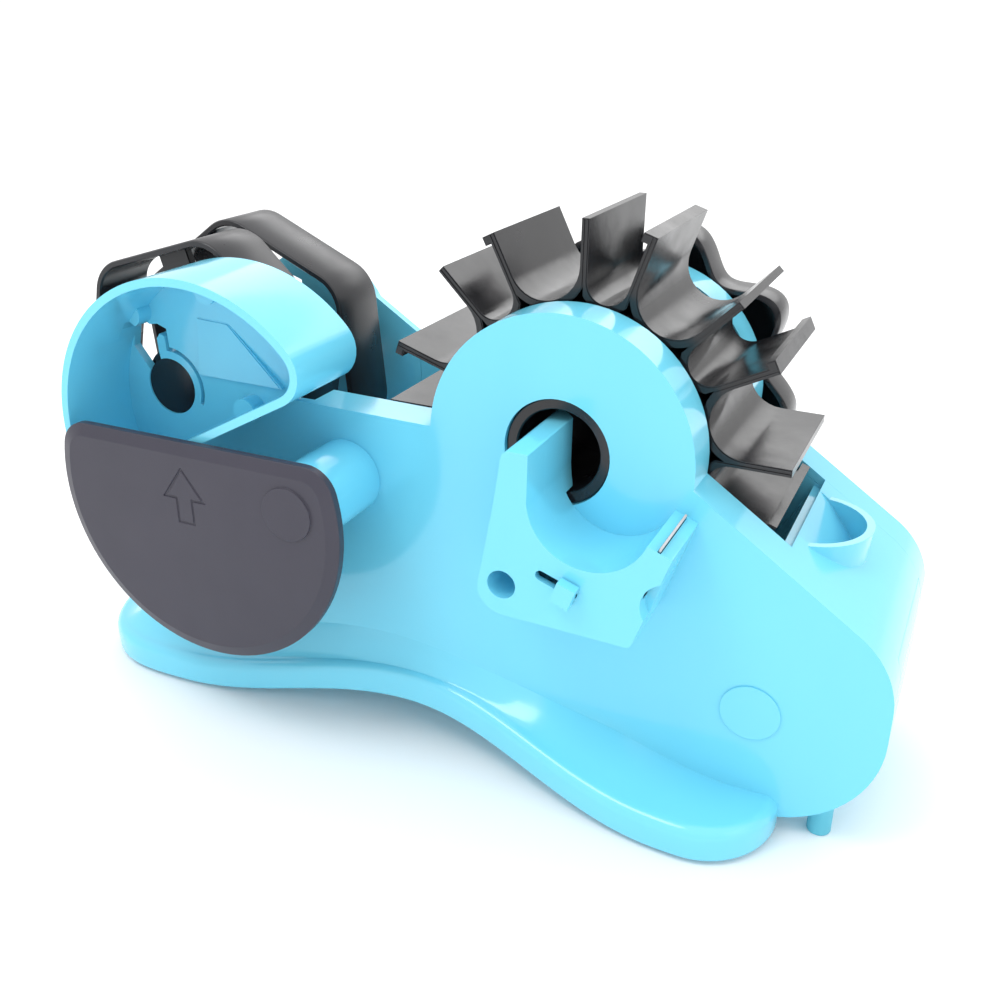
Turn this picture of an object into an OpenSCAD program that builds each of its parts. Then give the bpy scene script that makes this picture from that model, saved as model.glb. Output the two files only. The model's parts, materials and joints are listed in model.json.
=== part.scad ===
// Multi-roll tape dispenser: a two-sided housing on flared feet carries a finned
// drum that a lobed hand wheel turns, a rear shaft with two hexagonal roll cores,
// a side cup with a swivelling cover plate, and a plug-on mini dispenser.
// X runs toward the scoop, Y toward the hand wheel, Z up. The origin is on the
// table, under the middle of the drum axis.

/* [Housing] */
// Height of the drum axis above the table
axis_z = 86; // [80:1:104]
// Thickness of each side wall, from outer skin to drum side
wall_box_t = 11; // [9:0.5:14]
// Thickness of moulded skins
skin = 2.4; // [1.8:0.1:3]
// Radius of the round side discs over the drum
disc_r = 32; // [29:0.5:34]
// Height of the arms behind the discs, above the drum axis
arm_rise = 2; // [-6:1:4]
// Distance from the drum axis to the front of the nose
nose_x = 79; // [76:1:90]
// Radius of the nose's lower corner
nose_low_r = 28; // [20:1:30]
// Slope of the top deck in front of the drum, in degrees
deck_slope = 34.7; // [30:0.5:38]

/* [Drum] */
// Radius over the fin tips
drum_r = 50; // [46:0.5:52]
// Number of fins, alternating flanged and plain
fin_count = 16; // [12:2:20]
// Width of the drum along its axis
drum_w = 39; // [32:1:56]
// Thickness of the fins and trough walls
fin_t = 1.8; // [1.4:0.1:2.2]
// Radius to the bottom of the troughs
trough_r = 32; // [30:0.5:34]
// Radius of the drum's end journals
journal_r = 12.7; // [11:0.1:14]
// Radius of the bore through the drum
drum_bore_r = 10; // [8:0.5:10.5]
// Turn of every flanged fin away from even spacing, in degrees
flange_turn = 4.4; // [0:0.1:5]

/* [Hand wheel] */
// Greatest radius of the hand wheel
wheel_r = 40; // [36:0.5:44]
// Number of grip lobes
wheel_lobes = 8; // [6:1:10]
// Depth of the grip lobes
lobe_depth = 8; // [5:0.5:9]
// Width of the hand wheel along its axis
wheel_w = 12; // [10:0.5:16]

/* [Rolls] */
// Distance of the roll shaft behind the drum axis
reel_x = 109.5; // [106:0.5:116]
// Radius of the roll shaft
shaft_r = 7.5; // [6:0.1:8]
// Corner radius reached by the hexagonal cores, for a 76 mm roll core
core_reach = 38; // [34:0.5:38]
// Width of each hexagonal core
core_w = 18.5; // [15:0.5:19]
// Wall of each hexagonal core
core_wall = 1.8; // [1.4:0.1:2.4]

/* [Cup and post] */
// Outer radius of the side cup
cup_r = 41; // [38:0.5:42]
// Depth of the side cup
cup_depth = 22; // [18:0.5:26]
// Wall of the side cup
cup_wall = 2; // [1.6:0.1:2.6]
// Radius of the small roll post
post_r = 9.6; // [8:0.1:11]
// Radius of the cover plate
plate_r = 41.5; // [38:0.5:42]
// Thickness of the cover plate
plate_t = 3.2; // [2.6:0.1:4]

/* [Mini dispenser] */
// Depth of the mini dispenser
mini_w = 19.5; // [17:0.5:24]
// Radius of its roll cradle
cradle_r = 14; // [12:0.5:14.5]
// Travel of its slide button
slider_travel = 5.5; // [3:0.5:6]
// Length of the pegs that hold it
peg_len = 7; // [5:0.5:8]

/* [Clearances] */
// Radial play of turning fits
run_play = 0.06; // [0.03:0.01:0.1]
// Gap between parts that pass each other
gap = 0.5; // [0.35:0.05:0.8]
// Space on each side of the drum
drum_gap = 1; // [0.6:0.1:1.5]

/* [Hidden] */
$fn = 72;

blue = "#7de1f5";
black = "#222226";
charcoal = "#505058";
steel = "#c8c8cc";

// planes along Y, from the middle outwards
well_y = drum_w / 2 + drum_gap;         // inner faces of the side walls
side_y = well_y + wall_box_t;           // outer faces of the side walls
liner_t = 2;
liner_y = well_y + liner_t;             // joint between liner and shell
skin_y = side_y - skin;                 // inner face of the outer skin
cup_y = side_y + cup_depth;             // rim of the cup
plate_y = cup_y + 0.8;                  // back of the cover plate
mini_y = side_y + mini_w;               // front of the mini dispenser
mini_joint_y = side_y + mini_w / 2;     // joint between its two shells

// places in the XZ plane
drum_c = [0, axis_z];
arm_z = axis_z + arm_rise;
reel_c = [-reel_x, axis_z];
cup_c = reel_c + [24, -5.5];
cup_turn = -152;                        // turn of the cup's straight side
post_c = [-56, axis_z - 15.5];
plate_c = post_c + [-28.2, -3.7];
plate_cut = 16;
well_r = drum_r + 3;                    // inner radius of the drum well
box_rear_x = -66;
slope = tan(deck_slope);
deck_start = [33, axis_z - 4];          // a point on the deck line
nose_corner = [nose_x, deck_start.y - (nose_x - deck_start.x) * slope];
nose_high_r = 21;

// base
floor_t = 2.4;
foot_gap = 1;                           // the pads hold the base this far off the table
skirt_h = 8.5;
arch_h = 10;
seat = 0.1;                             // what stands on the base clears its facets by this
arch_mid = -38;
arch_span = 140;
base_front = 58;
base_rear = -150;
channel_rear = -127;
front_lobe = [40, side_y + 19.5];
rear_lobe = [-116, side_y + 11.5];
waist_y = side_y + 5;

// the mini dispenser's own places
mini_base = axis_z - 86;                // its places keep their distance from the drum axis
mini_peg_places = [[-6.5, mini_base + 66], [24, mini_base + 58]];
mini_screw_places = [[4, mini_base + 57.5], [19, mini_base + 57.5]];
mini_hole_c = [-4.4, mini_base + 61.2];
mini_hole_r = 3.4;
cradle_c = [15.3, mini_base + 83];
slot_a = [4.9, mini_base + 65.6];
slot_turn = 19.4;
slot_dir = [cos(slot_turn), -sin(slot_turn)];
slot_w = 2.4;
slider_rest = slot_a + slot_dir * (slider_travel + 1.2);
blade_base = [30.6, mini_base + 76.4];
blade_dir = [0.35, 0.937];

// ---------------------------------------------------------------- helpers

function unit(v) = v / norm(v);
function lerp(a, b, t) = a + (b - a) * t;
function smooth(t) = let (u = min(max(t, 0), 1)) u * u * (3 - 2 * u);
function arc(c, r, a0, a1, n = 12) =
    [for (i = [0:n]) let (a = a0 + (a1 - a0) * i / n) c + r * [cos(a), sin(a)]];

// One corner of an outline, [x, z, radius], rounded with n steps
function corner(p0, p1, p2, n) =
    let (
        at = [p1.x, p1.y],
        a = unit([p0.x, p0.y] - at),
        b = unit([p2.x, p2.y] - at),
        half = acos(a * b) / 2,
        c = at + unit(a + b) * p1[2] / sin(half),
        s = at + a * p1[2] / tan(half) - c,
        e = at + b * p1[2] / tan(half) - c,
        a0 = atan2(s.y, s.x),
        sweep = (atan2(e.y, e.x) - a0 + 900) % 360 - 180
    )
    p1[2] < 0.01 ? [at] : arc(c, p1[2], a0, a0 + sweep, n);

function rounded(pts, n = 10) =
    let (m = len(pts)) [for (i = [0:m - 1]) each corner(pts[(i + m - 1) % m], pts[i], pts[(i + 1) % m], n)];

// A circle of radius r cut straight at height cut, with its two corners rounded by f
function d_shape(r, cut, f) =
    let (tilt = asin((cut - f) / (r - f)), k = (r - f) * [cos(tilt), sin(tilt)])
    concat(
        arc(k, f, tilt, 90, 8),
        arc([-k.x, k.y], f, 90, 180 - tilt, 8),
        arc([0, 0], r, 180 - tilt, 360 + tilt, 64)
    );

// Draws a flat XZ outline solid from y0 to y1
module along_y(y0, y1) {
    translate([0, max(y0, y1), 0]) rotate([90, 0, 0]) linear_extrude(abs(y1 - y0)) children();
}

module rod(c, r, y0, y1) {
    translate([c.x, max(y0, y1), c.y]) rotate([90, 0, 0]) cylinder(r = r, h = abs(y1 - y0));
}

module ring(c, r_out, r_in, y0, y1) {
    difference() {
        rod(c, r_out, y0, y1);
        rod(c, r_in, min(y0, y1) - 1, max(y0, y1) + 1);
    }
}

// A countersunk screw along -Y from its head face at y
module screw_y(c, y, length, r = 1.4) {
    translate([c.x, y, c.y]) rotate([90, 0, 0]) {
        difference() {
            cylinder(r1 = 2.8, r2 = r, h = 1.4);
            translate([-0.4, -1.8, -0.1]) cube([0.8, 3.6, 0.8]);
            translate([-1.8, -0.4, -0.1]) cube([3.6, 0.8, 0.8]);
        }
        cylinder(r = r, h = length);
    }
}

// ---------------------------------------------------------------- outlines

// Height of the base's underside
function arch_z(x) =
    let (u = (x - arch_mid) / arch_span)
    foot_gap + (abs(u) < 0.5 ? arch_h * (1 + cos(360 * u)) / 2 : 0);
function floor_z(x) = arch_z(x) + floor_t;
function floor_line(x0, x1, n) = [for (i = [0:n]) let (x = lerp(x0, x1, i / n)) [x, floor_z(x)]];

// The thick part of both side walls
function box_outline(inset = 0) =
    let (
        low = [for (p = floor_line(box_rear_x + inset, nose_x - nose_low_r, 24)) p + [0, seat]],
        nose = rounded([
            [deck_start.x - 6, deck_start.y + 6 * slope, 0],
            [nose_corner.x, nose_corner.y, nose_high_r],
            [nose_x, floor_z(nose_x) + seat, nose_low_r],
            [0, floor_z(nose_x) + seat, 0]
        ], 18)
    )
    concat(
        [[box_rear_x + inset, arm_z]],
        [for (p = nose) if (p.x > 20) p],
        [for (i = [24:-1:0]) low[i]]
    );

module box_face() {
    polygon(box_outline());
    translate(drum_c) circle(disc_r);
}

// The same face drawn in by t all round
module box_pocket(t = skin) {
    translate(drum_c) circle(disc_r - t);
    intersection() {
        polygon([for (p = box_outline(t)) [p.x, p.y - t / cos(deck_slope / 2)]]);
        polygon([for (p = box_outline(t)) [p.x, p.y + t]]);
        translate([-t, 0]) polygon(box_outline());
    }
}

// Outline of the cup, and the same drawn in by t
module cup_face(t = 0) {
    translate(cup_c) rotate(cup_turn) polygon(d_shape(cup_r - t, -t, 8 - t));
}

// The thin wall behind the thick one, under the roll bay
module rear_face() {
    polygon(concat(
        [[box_rear_x, arm_z], [-84, arm_z], [-118, arm_z - 26], [-124, arm_z - 50]],
        [for (p = floor_line(-124, box_rear_x, 16)) p + [0, seat]]
    ));
}

module far_head_face() {
    translate(reel_c + [6, 1]) circle(24);
    polygon([[-92, 105], [box_rear_x, arm_z], [-84, arm_z - 40], reel_c + [-9, -18]]);
}

// Snap-in seat for the roll shaft: a bore, a throat and the slit beside its finger
module shaft_seat() {
    slit_in = shaft_r + 2.1;
    slit_out = slit_in + 1.1;
    translate(reel_c) {
        circle(shaft_r + run_play);
        polygon([
            [-6.4, 3.4], [-11.2, 9.7], [-9.9, 15.4], [-7.6, 17.8], [-5, 16.2], [-2.4, 16.6],
            [0.4, 15.6], [0.8, slit_in], [-0.3, slit_in], [-0.5, 13.4], [-2, 14], [-3.1, 12.6], [-2.9, 9],
            [-2.4, 6]
        ]);
        difference() {
            circle(slit_out);
            circle(slit_in);
            polygon([[0, 0], [0, 30], [-40, 30], [-40, -40], [40, -40], 40 * [cos(-22), sin(-22)]]);
        }
    }
}

// ---------------------------------------------------------------- housing

// Half width of the base at x, ahead of its rounded rear end
function base_half(x) =
    let (ahead = (x - front_lobe.x) / (base_front - front_lobe.x))
    x > front_lobe.x ? side_y + (front_lobe.y - side_y) * sqrt(max(0, 1 - pow(ahead, 2)))
    : x > arch_mid ? lerp(waist_y, front_lobe.y, smooth((x - arch_mid) / (front_lobe.x - arch_mid)))
    : lerp(waist_y, rear_lobe.y, smooth((arch_mid - x) / (arch_mid - rear_lobe.x)));
function skirt_rise(x) = 6 * smooth((48 - x) / 36) + 3 * smooth((-14 - x) / 54);

// One skirt as a ruled solid between the wall and its outer edge
module skirt() {
    n = 44;
    xs = [for (i = [0:n]) lerp(channel_rear, base_front - 0.05, 1 - pow(1 - i / n, 1.4))];
    sections = [for (x = xs)
        let (w = base_half(x), b = arch_z(x), e = min(2.5, (w - side_y) / 2))
        [[side_y, b], [w - e / 3, b], [w, b + 1], [w, b + skirt_h - e], [w - e, b + skirt_h],
         [side_y, b + skirt_h + skirt_rise(x)]]];
    m = 6;
    pts = [for (i = [0:n]) for (p = sections[i]) [xs[i], p.x, p.y]];
    faces = concat(
        [[for (j = [0:m - 1]) j]],
        [[for (j = [m - 1:-1:0]) n * m + j]],
        [for (i = [0:n - 1]) for (j = [0:m - 1])
            [i * m + j, (i + 1) * m + j, (i + 1) * m + (j + 1) % m, i * m + (j + 1) % m]]
    );
    polyhedron(points = pts, faces = faces);
}

module base() color(blue) {
    difference() {
        union() {
            along_y(-side_y, side_y) polygon(concat(
                floor_line(channel_rear, 52, 30),
                [for (i = [30:-1:0]) let (x = lerp(channel_rear, 52, i / 30)) [x, arch_z(x)]]
            ));
            skirt();
            mirror([0, 1, 0]) skirt();
            base_tail();
        }
        for (p = pad_places) translate([p.x, p.y, 0]) cylinder(r = 5.05, h = foot_gap + 1.2);
        cylinder(r = 5.05, h = mid_pad_top);
        for (p = base_screw_places) translate([p.x, p.y, arch_z(p.x) - 1]) {
            cylinder(r = 3.1, h = 2.5);
            cylinder(r = 1.45, h = 9);
        }
    }
}

// The solid round rear end of the base
module base_tail() {
    n = 20;
    half = rear_lobe.y;
    len_x = rear_lobe.x - base_rear;
    side = [for (i = [0:n]) let (u = i / n)
        [channel_rear + (base_rear - channel_rear) * (1 - pow(1 - u, 2)), 0]];
    edge = [for (p = side) [p.x, half * pow(max(0, 1 - pow((rear_lobe.x - p.x) / len_x, 2.5)), 0.4)]];
    translate([0, 0, foot_gap]) linear_extrude(skirt_h)
        polygon(concat(edge, [for (i = [n - 1:-1:0]) [edge[i].x, -edge[i].y]]));
}

pad_places = [[40, 43], [40, -43], [-122, 34], [-122, -34]];
peg_places = [[67, side_y - 5.5], [67, 5.5 - side_y]];
mid_pad_top = arch_z(0) + 0.6;           // the middle pad reaches up into the arch
peg_top = 12;
base_screw_places = [for (x = [-112, -50, 36]) for (s = [-1, 1]) [x, s * (side_y - 5.5)]];

module rubber_feet() color("#6ad4ea") {
    for (p = pad_places) translate([p.x, p.y, 0]) cylinder(r = 5, h = foot_gap + 1.2);
    cylinder(r = 5, h = mid_pad_top);
    for (p = peg_places) translate([p.x, p.y, 0]) cylinder(r = 2.8, h = peg_top);
}

module base_screws() color(steel) {
    for (p = base_screw_places) translate([p.x, p.y, arch_z(p.x) + 0.1]) {
        cylinder(r = 2.8, h = 1.4);
        cylinder(r = 1.3, h = 9);
    }
}

// Shared body of both side shells, drawn for the far side
module side_shell_body() {
    difference() {
        along_y(well_y, side_y) box_face();
        along_y(well_y - 1, skin_y) box_pocket();
    }
    along_y(skin_y, side_y) rear_face();
    rod(drum_c, journal_r + 4, liner_y + 0.05, side_y);
    for (p = liner_screw_places) rod(p, 3.4, liner_y + 0.05, skin_y);
    for (p = base_screw_places) if (p.y > 0) screw_post(p.x);
}

// Pillar that takes a base screw, standing on the base
module screw_post(x) {
    translate([x, side_y - 5.5, floor_z(x) + seat]) {
        cylinder(r = 3.2, h = 12);
        translate([-1, 0, 0]) cube([2, 5.4, 12]);
    }
}

liner_screw_places = [
    [-58, axis_z - 8], [-20, axis_z - 46], [24, axis_z - 40], [52, axis_z - 34], [66, 20], [-50, 26]
];
plug_c = [49, 31];
plug_r = 7;

module shell_holes() {
    rod(drum_c, journal_r + run_play, 0, side_y + 1);
    for (p = liner_screw_places) rod(p, 1.2, liner_y - 1, skin_y - 0.6);
    for (p = base_screw_places) if (p.y > 0)
        translate([p.x, p.y, floor_z(p.x) - 1]) cylinder(r = 1.35, h = 10);
    rod(plug_c, plug_r - 1.2, liner_y + 4, side_y + 1);
    translate([peg_places[0].x, peg_places[0].y, -1]) cylinder(r = 2.85, h = peg_top + 1.1);
}

module near_side_shell() color(blue) mirror([0, 1, 0]) difference() {
    union() {
        side_shell_body();
        along_y(skin_y, side_y) cup_face();
        along_y(skin_y, cup_y) difference() {
            cup_face();
            cup_face(cup_wall);
        }
        for (p = cup_boss_places) rod(p, 3.2, side_y - 0.5, side_y + 4.5);
        for (p = mini_peg_places) rod(p, 4.5, liner_y + 1.5, side_y - 0.5);
        rod(post_c, post_r, liner_y, side_y);
    }
    shell_holes();
    along_y(skin_y - 1, side_y + 6) shaft_seat();
    for (p = mini_peg_places) rod(p, 2.45 + run_play, side_y - peg_len - 1, side_y + 1);
    rod(post_c, 3, liner_y - 1, side_y + 1);
}

cup_boss_places = [
    cup_c + (cup_r - 1.2) * unit([-31, 25]), cup_c + (cup_r - 7) * unit([-6, 33.5]), cup_c + [2.5, 4]
];

module far_side_shell() color(blue) difference() {
    union() {
        side_shell_body();
        along_y(skin_y, side_y) far_head_face();
    }
    shell_holes();
    along_y(skin_y - 1, side_y + 1) shaft_seat();
}

module liner() {
    difference() {
        along_y(well_y, liner_y) box_pocket(skin + 0.1);
        rod(drum_c, journal_r + gap, well_y - 1, liner_y + 1);
        for (p = liner_screw_places) translate([p.x, well_y - 0.01, p.y]) rotate([-90, 0, 0]) {
            cylinder(r1 = 2.85, r2 = 1.45, h = 1.41);
            cylinder(r = 1.45, h = 5);
        }
    }
}

module near_liner() color(blue) mirror([0, 1, 0]) liner();
module far_liner() color(blue) liner();

module liner_screws() color(steel) {
    for (s = [0, 1]) mirror([0, s, 0])
        for (p = liner_screw_places) mirror([0, 1, 0]) screw_y(p, -well_y, liner_t + 5, 1.15);
}

module screw_plugs() color(blue) {
    for (s = [0, 1]) mirror([0, s, 0]) {
        rod(plug_c, plug_r, side_y, side_y + 0.5);
        rod(plug_c, plug_r - 1.2, side_y - 6, side_y);
    }
}

slot_edge = [52, deck_start.y - (52 - deck_start.x) * slope];
nose_curve = rounded([
    [slot_edge.x, slot_edge.y, 0],
    [nose_corner.x, nose_corner.y, nose_high_r],
    [nose_x, floor_z(nose_x) + seat, nose_low_r],
    [48, floor_z(nose_x) + seat, 0]
], 18);
nose_inner = rounded([
    [slot_edge.x, slot_edge.y - skin / cos(deck_slope), 0],
    [nose_corner.x - skin, nose_corner.y - skin * 0.6, nose_high_r - skin],
    [nose_x - skin, floor_z(nose_x) + skin, nose_low_r - skin],
    [48, floor_z(nose_x) + skin, 0]
], 18);
deck_joint = 12;                        // step of the nose curve where deck and nose meet

// Everything above the scoop's sloping floor, dropped by d
module above_scoop_floor(d) {
    translate([slot_edge.x, -40, slot_edge.y - d]) rotate([0, scoop_slope, 0]) translate([-20, 0, 0]) cube([80, 80, 60]);
}

scoop_r = 13.2;
scoop_slope = 46;
scoop_lip = slot_edge.y - 1.8;          // height of the scoop's level lip

module deck_cover() color(blue) difference() {
    union() {
        along_y(-well_y, well_y) polygon(concat(
            [for (i = [0:deck_joint]) nose_curve[i]],
            [for (i = [deck_joint:-1:0]) nose_inner[i]]
        ));
        intersection() {
            translate([slot_edge.x, 0, scoop_lip - 14]) cylinder(r1 = scoop_r + 0.4, r2 = scoop_r + 1.9, h = 14);
            translate([slot_edge.x, -20, 0]) cube([40, 40, 200]);
            above_scoop_floor(3.2);
        }
    }
    intersection() {
        translate([slot_edge.x, 0, scoop_lip - 20]) cylinder(r = scoop_r, h = 40);
        above_scoop_floor(0);
    }
}

module nose_front() color(blue) along_y(-well_y, well_y) {
    last = len(nose_curve) - 1;
    polygon(concat(
        [for (i = [deck_joint:last]) nose_curve[i]],
        [for (i = [last:-1:deck_joint]) nose_inner[i]]
    ));
}

well_start = -atan2(drum_c.y - slot_edge.y + 3, slot_edge.x);
well_end = -158;
blade_angle = -52;

module drum_well() color(blue) difference() {
    along_y(-well_y, well_y) translate(drum_c) polygon(concat(
        arc([0, 0], well_r, well_start, well_end, 48),
        arc([0, 0], well_r + 2, well_end, well_start, 48)
    ));
    on_blade() translate([-5, -drum_w / 2 - 0.3, -0.5]) cube([12, drum_w + 0.6, 1]);
}

// Frame of the cutting blade: its X points out from the drum axis
module on_blade() {
    translate([0, 0, axis_z]) rotate([0, -blade_angle, 0]) translate([drum_r, 0, 0]) children();
}

// A serrated edge along Y: teeth point to -X
module saw_strip(length, depth, thick, tooth) {
    n = floor(length / tooth);
    translate([0, 0, -thick / 2]) linear_extrude(thick) polygon(concat(
        [[depth, -length / 2], [depth, length / 2]],
        [for (i = [n:-1:0]) each (i > 0
            ? [[tooth * 0.6, -length / 2 + i * tooth], [0, -length / 2 + (i - 0.5) * tooth]]
            : [[tooth * 0.6, -length / 2]])]
    ));
}

module cut_blade() color(steel) on_blade() translate([1, 0, 0]) saw_strip(drum_w - 1, 11, 0.6, 1.5);

module blade_holder() color(blue) on_blade() difference() {
    translate([5.3, -drum_w / 2, -2.3]) cube([9, drum_w, 4.6]);
    translate([0, -drum_w / 2 - 1, -0.3]) cube([12, drum_w + 2, 0.6]);
}

module ballast_weight() color("#77797d") {
    translate([16, -well_y + 2, floor_z(16) + 0.1]) cube([30, 2 * well_y - 4, 9]);
}

// ---------------------------------------------------------------- drum and wheel

fin_step = 360 / fin_count;
function fin_angle(k) = 66.8 + 90 - fin_step * k + (k % 2 == 0 ? flange_turn : 0);

// A trough between two fins: [bisector angle, centre distance, radius]
function trough(k) =
    let (a = fin_angle(k), b = fin_angle(k + 1), h = (a - b) / 2, c = (trough_r - fin_t / 2) / (1 - sin(h)))
    [(a + b) / 2, c, c * sin(h) - fin_t / 2, h];

module drum_section() {
    difference() {
        union() {
            for (k = [0:fin_count - 1]) {
                t = trough(k);
                rotate(t[0]) translate([t[1], 0]) circle(t[2] + fin_t);
                rotate(fin_angle(k)) translate([trough_r + 3, -fin_t / 2]) square([drum_r - trough_r - 3, fin_t]);
            }
        }
        for (k = [0:fin_count - 1]) {
            t = trough(k);
            rotate(t[0]) translate([t[1], 0]) circle(t[2]);
            rotate(t[0]) difference() {
                polygon([
                    [t[1], -t[2]], [drum_r + 9, -(drum_r + 9) * tan(t[3]) + fin_t / 2 / cos(t[3])],
                    [drum_r + 9, (drum_r + 9) * tan(t[3]) - fin_t / 2 / cos(t[3])], [t[1], t[2]]
                ]);
            }
        }
    }
    for (k = [0:2:fin_count - 1]) rotate(fin_angle(k)) translate([drum_r - 2.2, -fin_t / 2 - 1.5])
        square([2.2, fin_t + 1.5]);
}

module drum() color(black) {
    difference() {
        union() {
            along_y(-drum_w / 2, drum_w / 2) translate(drum_c) drum_section();
            ring(drum_c, trough_r - 0.6, trough_r - 2.6, -drum_w / 2, drum_w / 2);
            rod(drum_c, trough_r - 2, -1.5, 1.5);
        }
        rod(drum_c, journal_r + 0.02, -3, 3);
    }
}

// The tube through the drum, with a journal at each end
module drum_hub() color(black) {
    difference() {
        rod(drum_c, journal_r, -side_y + 1, side_y - 0.6);
        rod(drum_c, drum_bore_r, -side_y, -3);
        rod(drum_c, drum_bore_r, 3, side_y);
        rod(drum_c, 2, -10, 10);
    }
}

wheel_y = side_y + 1.5;
function lobe_outline(inset) = [for (i = [0:2:359])
    (wheel_r - lobe_depth / 2 - inset + lobe_depth / 2 * cos(wheel_lobes * (i - 78))) * [cos(i), sin(i)]];

module hand_wheel() color(black) {
    difference() {
        union() {
            along_y(wheel_y, wheel_y + wheel_w) translate(drum_c) polygon(lobe_outline(0));
            rod(drum_c, drum_bore_r - 0.02, 3.5, wheel_y + 1);
        }
        along_y(wheel_y - 1, wheel_y + wheel_w - 2.4) translate(drum_c) difference() {
            polygon(lobe_outline(2));
            circle(drum_bore_r + 4);
        }
        rod(drum_c, 1.75, -1, wheel_y + wheel_w);
        rod(drum_c, 4.4, wheel_y + wheel_w - 6, wheel_y + wheel_w + 1);
    }
}

module wheel_screw() color(steel) {
    head = wheel_y + wheel_w - 6;
    difference() {
        rod(drum_c, 3.6, head, head + 2.6);
        rod(drum_c, 1.6, head + 1, head + 3);
    }
    rod(drum_c, 1.7, -8, head);
}

module wheel_cap() color(black) {
    end = wheel_y + wheel_w;
    rod(drum_c, 4.35, end - 2, end);
    rod(drum_c, 6, end, end + 1);
}

// ---------------------------------------------------------------- rolls

near_core_y = -23.4;
far_core_y = near_core_y + core_w + 5.4;

module reel_shaft() color(black) difference() {
    union() {
        rod(reel_c, shaft_r, -side_y + 0.4, side_y + 0.6);
        for (s = [-1, 1]) rod(reel_c, shaft_r + 2.2, s * (skin_y - 2.2), s * (skin_y - 0.4));
    }
    rod(reel_c, shaft_r - 2, -side_y + 3, side_y + 2);
}

module near_spacer() color(charcoal)
    ring(reel_c, shaft_r + 2.2, shaft_r + 0.02, -skin_y + 2.3, near_core_y - 0.4);
module far_spacer() color(charcoal)
    ring(reel_c, shaft_r + 2.2, shaft_r + 0.02, far_core_y + core_w + 0.4, skin_y - 2.3);

core_flat = (core_reach + 11 / cos(30) - 11) * cos(30);   // from the axis to each flat side

// Rounded hexagon whose corners reach the given radius
function hexagon(reach, f) =
    let (r = reach + f / cos(30) - f)
    rounded([for (i = [0:5]) [r * cos(60 * i), r * sin(60 * i), f]], 8);

module roll_core(y, turn) {
    hub_y = y + core_w;
    translate([reel_c.x, 0, reel_c.y]) rotate([0, turn, 0]) {
        along_y(y, hub_y) difference() {
            polygon(hexagon(core_reach, 11));
            polygon(hexagon(core_reach - core_wall, 11 - core_wall));
        }
        difference() {
            union() {
                rod([0, 0], shaft_r + 2.4, y, hub_y);
                along_y(y + core_w / 2 - 1.2, y + core_w / 2 + 1.2) for (a = [30, 150, 270])
                    rotate(a) translate([shaft_r + 1, -5]) square([core_flat - core_wall / 2 - shaft_r - 1, 10]);
            }
            rod([0, 0], shaft_r + run_play, y - 1, hub_y + 1);
        }
    }
}

module near_core() color(charcoal) roll_core(near_core_y, 43.8);
module far_core() color(charcoal) roll_core(far_core_y, 25);

// ---------------------------------------------------------------- post and plate

pin_r = 5;

module core_post() color(blue) difference() {
    rod(post_c, post_r, -cup_y, -side_y);
    rod(post_c, pin_r + run_play, -cup_y - 1, -side_y - 5);
    rod(post_c, 1.2, -side_y - 6, -side_y + 1);
}

module post_screw() color(steel) {
    rod(post_c, 2.9, -side_y + 0.02, -liner_y - 0.4);
    rod(post_c, 1.15, -side_y - 4.5, -side_y + 0.02);
}

module cover_plate() color(charcoal) {
    difference() {
        union() {
            translate([plate_c.x, -plate_y, plate_c.y]) rotate([90, 0, 0]) bevelled_plate(1.2, 3);
            rod(post_c, 6.7, -plate_y - plate_t, -plate_y - plate_t - 0.5);
        }
        arrow_groove();
        rod(post_c, pin_r - 1.5, -plate_y - plate_t + 1, -plate_y + 1);
    }
}

// The plate with its front edge bevelled, h high and w wide
module bevelled_plate(h, w) {
    edge = d_shape(plate_r, plate_cut, 8);
    top = d_shape(plate_r - w, plate_cut - w, 8 - w);
    n = len(edge);
    function wall(k) = [for (i = [0:n - 1]) [k + i, k + n + i, k + n + (i + 1) % n, k + (i + 1) % n]];
    polyhedron(
        points = concat(
            [for (p = edge) [p.x, p.y, 0]],
            [for (p = edge) [p.x, p.y, plate_t - h]],
            [for (p = top) [p.x, p.y, plate_t]]
        ),
        faces = concat([[for (i = [0:n - 1]) i]], wall(0), wall(n), [[for (i = [n - 1:-1:0]) 2 * n + i]])
    );
}

// A plain upward arrow, sunk into the plate
module arrow_groove() {
    at = plate_c + [-2, plate_cut - 6];
    along_y(-plate_y - plate_t - 1, -plate_y - plate_t + 0.35) translate(at) difference() {
        arrow_shape(0);
        arrow_shape(0.6);
    }
}

module arrow_shape(t) {
    polygon([
        [0, -t * 1.4], [6.5 - t * 2.2, -8.6 + t], [2.6 - t, -8.6 + t], [2.6 - t, -15 + t],
        [-2.6 + t, -15 + t], [-2.6 + t, -8.6 + t], [-6.5 + t * 2.2, -8.6 + t]
    ]);
}

module plate_pin() color(charcoal) {
    rod(post_c, pin_r, -plate_y, -side_y - 8);
    rod(post_c, pin_r - 1.55, -plate_y - plate_t + 1.05, -plate_y);
}

// ---------------------------------------------------------------- mini dispenser

// Outline of the mini dispenser, drawn in by t
module mini_face(t = 0) {
    polygon(concat(
        rounded([
            [cradle_c.x - cradle_r - t, mini_base + 93 - t, 1.2],
            [-4.4 + t, mini_base + 93 - t, 2],
            [-6.8 + t, mini_base + 78, 6],
            [-11.6 + t, mini_base + 53.8 + t, 6 - t],
            [25.8 - t * 1.2, mini_base + 52.8 + t, 1.5],
            [33.6 - t * 1.3, mini_base + 75.6 - t * 0.8, 0.3],
            [cradle_c.x + (cradle_r + t) * cos(22 + 4.5 * t), cradle_c.y - (cradle_r + t) * sin(22 + 4.5 * t), 0]
        ], 6),
        [for (p = arc(cradle_c, cradle_r + t, -25 - 4.5 * t, -175, 26)) p]
    ));
}

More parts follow.
